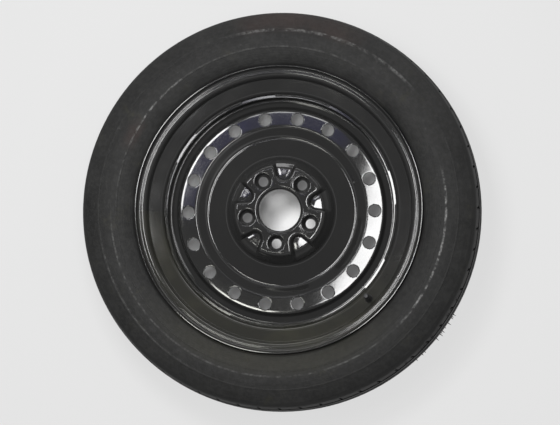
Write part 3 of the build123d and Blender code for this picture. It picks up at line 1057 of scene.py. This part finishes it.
def makeRim():
    shape = rimShape
    line = roundedLine(shape["line"], shape["bends"], shape["turnStep"], shape["runStep"])
    edge, steps = shape["lipRound"], shape["lipSteps"]
    lip = shape["line"][0][1]
    outer = shape["line"][0][0] - edge
    inner = shape["line"][0][0] - shape["wall"] + edge
    airSide = [(spot + way * shape["wall"], way) for spot, way in line[1:-1]]
    tyreSide = [(spot, -way) for spot, way in line[1:-1]]
    below = cornerArc(Vector((inner, edge - lip)), edge, 180, 270, steps)
    below += cornerArc(Vector((outer, edge - lip)), edge, 270, 360, steps)
    above = cornerArc(Vector((outer, lip - edge)), edge, 0, 90, steps)
    above += cornerArc(Vector((inner, lip - edge)), edge, 90, 180, steps)
    mesh = turnedMesh("rolledRim", airSide + below + tyreSide[::-1] + above, shape["around"])
    return addPiece("rolledRim", mesh, rimPaint, "wheel", ["rim"])


rim = makeRim()
print("rim:", len(rim.data.polygons), "faces")


# a node tree for repeated shapes: its input names, its ends and a wire to build with
def newPattern(name, values):
    tree = bpy.data.node_groups.new(name, "GeometryNodeTree")
    tree.interface.new_socket("Geometry", in_out="OUTPUT", socket_type="NodeSocketGeometry")
    sockets = {}
    for label, value in values.items():
        kind = "NodeSocketInt" if isinstance(value, int) else "NodeSocketFloat"
        made = tree.interface.new_socket(label, in_out="INPUT", socket_type=kind)
        sockets[label] = made.identifier
    start = tree.nodes.new("NodeGroupInput")
    inputs = {label: Wire(tree, start.outputs[label]) for label in values}
    return tree, sockets, inputs


# a place on a circle about the axis
def onCircle(radius, angle, height):
    across = radius * angle.maths("COSINE", angle)
    along = radius * angle.maths("SINE", angle)
    return angle.vector(across, along, height)


# a number drawn for each point between two ends
def chance(number, low, high, seed):
    return number.node(
        "FunctionNodeRandomValue",
        {"data_type": "FLOAT"},
        {2: low, 3: high, "ID": number, "Seed": seed},
        1,
    )


# smooth instances on points, realized and with their finish, as a plain mesh
def patternMesh(name, tree, sockets, values, points, shape, turn, size, material):
    smooth = points.node("GeometryNodeSetShadeSmooth", {}, {0: shape})
    placed = points.node(
        "GeometryNodeInstanceOnPoints",
        {},
        {"Points": points, "Instance": smooth, "Rotation": turn, "Scale": size},
    )
    real = placed.node("GeometryNodeRealizeInstances", {}, {0: placed})
    ended = placed.node("GeometryNodeSetMaterial", {}, {"Geometry": real, "Material": material})
    ending = tree.nodes.new("NodeGroupOutput")
    tree.links.new(ended.socket, ending.inputs[0])
    holder = bpy.data.objects.new(name, bpy.data.meshes.new(name))
    scene.collection.objects.link(holder)
    modifier = holder.modifiers.new(name, "NODES")
    modifier.node_group = tree
    for label, value in values.items():
        modifier[sockets[label]] = value
    bpy.context.view_layer.update()
    seen = holder.evaluated_get(bpy.context.evaluated_depsgraph_get())
    mesh = bpy.data.meshes.new_from_object(seen)
    holder.modifiers.remove(modifier)
    bpy.data.objects.remove(holder)
    return mesh


# weld runs: overlapping ripples along the flange's edge
weldRuns = {
    "Runs": 8,
    "Ripples": 44,
    "Start": math.radians(20),
    "Span": math.radians(27),
    "Circle": 199.75 * mm,
    "Height": 28.6 * mm,
    "Ripple size": 2.7 * mm,
    "Ripple length": 0.75,
    "Ripple height": 0.85,
    "Unevenness": 0.16,
    "Seed": 7,
}


def makeWelds():
    tree, sockets, given = newPattern("weldRuns", weldRuns)
    number = given["Runs"].node("GeometryNodeInputIndex")
    run = (number / given["Ripples"]).maths("FLOOR", number / given["Ripples"])
    along = (number - run * given["Ripples"]) / (given["Ripples"] - 1)
    angle = given["Start"] + run * (2 * math.pi) / given["Runs"] + along * given["Span"]
    jitter = chance(number, -1.0, 1.0, given["Seed"])
    radius = given["Circle"] + jitter * given["Unevenness"] * given["Ripple size"] * 0.5
    spot = onCircle(radius, angle, given["Height"])
    count = given["Runs"] * given["Ripples"]
    points = number.node("GeometryNodePoints", {}, {"Count": count, "Position": spot})
    ripple = number.node(
        "GeometryNodeMeshUVSphere",
        {},
        {"Segments": 10, "Rings": 6, "Radius": given["Ripple size"]},
    )
    turn = number.vector(0.0, 0.0, angle)
    swell = 1 + jitter * given["Unevenness"]
    size = number.vector(swell, given["Ripple length"], swell * given["Ripple height"])
    mesh = patternMesh("weldRuns", tree, sockets, weldRuns, points, ripple, turn, size, discPaint)
    return addPiece("weldRuns", mesh, None, "wheel", ["weld_beads"])


welds = makeWelds()
print("welds:", len(welds.data.polygons), "faces")


# moulding whiskers left at the tread's shoulders
whiskers = {
    "Count": 26,
    "Circle": 341.5 * mm,
    "Height": 42.0 * mm,
    "Length": 6.5 * mm,
    "Thickness": 1.0 * mm,
    "Tip": 0.4,
    "Shortest": 0.35,
    "Least lean": 0.1,
    "Most lean": 0.5,
    "Middle": math.radians(-40),
    "Spread": math.radians(14),
    "Seed": 11,
}


def makeWhiskers():
    tree, sockets, given = newPattern("whiskers", whiskers)
    number = given["Count"].node("GeometryNodeInputIndex")
    seed = given["Seed"]
    side = number.maths("MODULO", number, 2.0) * 2 - 1
    angle = given["Middle"] + chance(number, -1.0, 1.0, seed) * given["Spread"]
    spot = onCircle(given["Circle"], angle, side * given["Height"])
    points = number.node("GeometryNodePoints", {}, {"Count": given["Count"], "Position": spot})
    whisker = number.node(
        "GeometryNodeMeshCone",
        {},
        {
            "Vertices": 6,
            "Side Segments": 1,
            "Radius Top": given["Thickness"] * given["Tip"],
            "Radius Bottom": given["Thickness"],
            "Depth": given["Length"],
        },
    )
    lean = math.pi / 2 - side * chance(number, given["Least lean"], given["Most lean"], seed + 1)
    turn = number.vector(0.0, lean, angle)
    size = number.vector(1.0, 1.0, chance(number, given["Shortest"], 1.0, seed + 2))
    mesh = patternMesh("whiskers", tree, sockets, whiskers, points, whisker, turn, size, tyreRubber)
    return addPiece("whiskers", mesh, None, "wheel")


nubs = makeWhiskers()
print("whiskers:", len(nubs.data.polygons), "faces")


# the valve's cap, drawn up its own axis (mm): its top, its side, its foot, its bore
capShape = {
    "line": [
        (0.0, 22.85), (2.9, 22.85), (3.6, 22.65), (4.1, 22.2), (4.4, 21.5), (4.4, 13.1),
        (4.55, 12.8), (4.55, 12.6), (3.85, 12.6), (3.85, 21.65), (0.0, 21.65),
    ],
    "around": 40,
    "smoothBelow": 40,
}


def makeCap():
    sheet = Sheet()
    sheet.addRings(capShape["line"], capShape["around"], False)
    mesh = sheet.mesh("valveCap")
    smoothShade(mesh, capShape["smoothBelow"])
    mesh.transform(valvePlace)
    return addPiece("valveCap", mesh, capPlastic, "cap", ["valve_cap"])


# grip ribs round the cap
capRibs = {
    "Count": 20,
    "Circle": 4.37 * mm,
    "Foot": 13.3 * mm,
    "Length": 8.0 * mm,
    "Thickness": 0.5 * mm,
}


def makeRibs():
    tree, sockets, given = newPattern("capRibs", capRibs)
    number = given["Count"].node("GeometryNodeInputIndex")
    angle = number / given["Count"] * (2 * math.pi)
    spot = onCircle(given["Circle"], angle, given["Foot"] + given["Length"] * 0.5)
    points = number.node("GeometryNodePoints", {}, {"Count": given["Count"], "Position": spot})
    rib = number.node("GeometryNodeMeshUVSphere", {}, {"Segments": 8, "Rings": 8, "Radius": 1.0})
    turn = number.vector(0.0, 0.0, angle)
    size = number.vector(given["Thickness"], given["Thickness"], given["Length"] * 0.5)
    mesh = patternMesh("capRibs", tree, sockets, capRibs, points, rib, turn, size, capPlastic)
    mesh.transform(valvePlace)
    return addPiece("capRibs", mesh, None, "cap")


cap = makeCap()
ribs = makeRibs()
print("cap:", len(cap.data.polygons) + len(ribs.data.polygons), "faces")


# the valve's brass stem with its thread, up the same axis (mm)
stemShape = {
    "foot": [(1.9, -10.0), (3.3, -10.0), (3.3, 12.05)],
    "mouth": [(3.25, 20.5), (2.6, 20.5), (2.6, 15.5), (1.9, 14.5)],
    "thread": (12.05, 20.1),
    "crest": 3.75,
    "depth": 0.43,
    "pitch": 0.794,
    "rows": 8,
    "runOut": 0.6,
    "around": 32,
    "smoothBelow": 40,
}


def makeStem():
    shape = stemShape
    turns = np.arange(shape["around"]) / shape["around"]
    low, high = shape["thread"]
    rows = []
    for height in np.arange(low, high, shape["pitch"] / shape["rows"]):
        across = np.abs((height / shape["pitch"] - turns) % 1 * 2 - 1)
        cut = np.clip(across * 1.5 - 0.25, 0, 1) * shape["depth"]
        started = min(1.0, (height - low) / shape["runOut"])
        rows.append((shape["crest"] - shape["depth"] + (shape["depth"] - cut) * started, height))
    sheet = Sheet()
    line = shape["foot"] + rows + shape["mouth"] + shape["foot"][:1]
    sheet.addRings(line, shape["around"], False)
    mesh = sheet.mesh("valveStem")
    smoothShade(mesh, shape["smoothBelow"])
    mesh.transform(valvePlace)
    return addPiece("valveStem", mesh, stemBrass, "wheel", ["valve_stem"])


stem = makeStem()
print("stem:", len(stem.data.polygons), "faces")


def makeSpring():
    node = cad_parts["core_spring"]
    mesh = node.data.copy()
    mesh.transform(node.matrix_world)
    piece = addPiece("coreSpring", mesh, springSteel, "wheel", ["core_spring"])
    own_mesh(piece)
    return piece


spring = makeSpring()
print("spring:", len(spring.data.polygons), "faces")
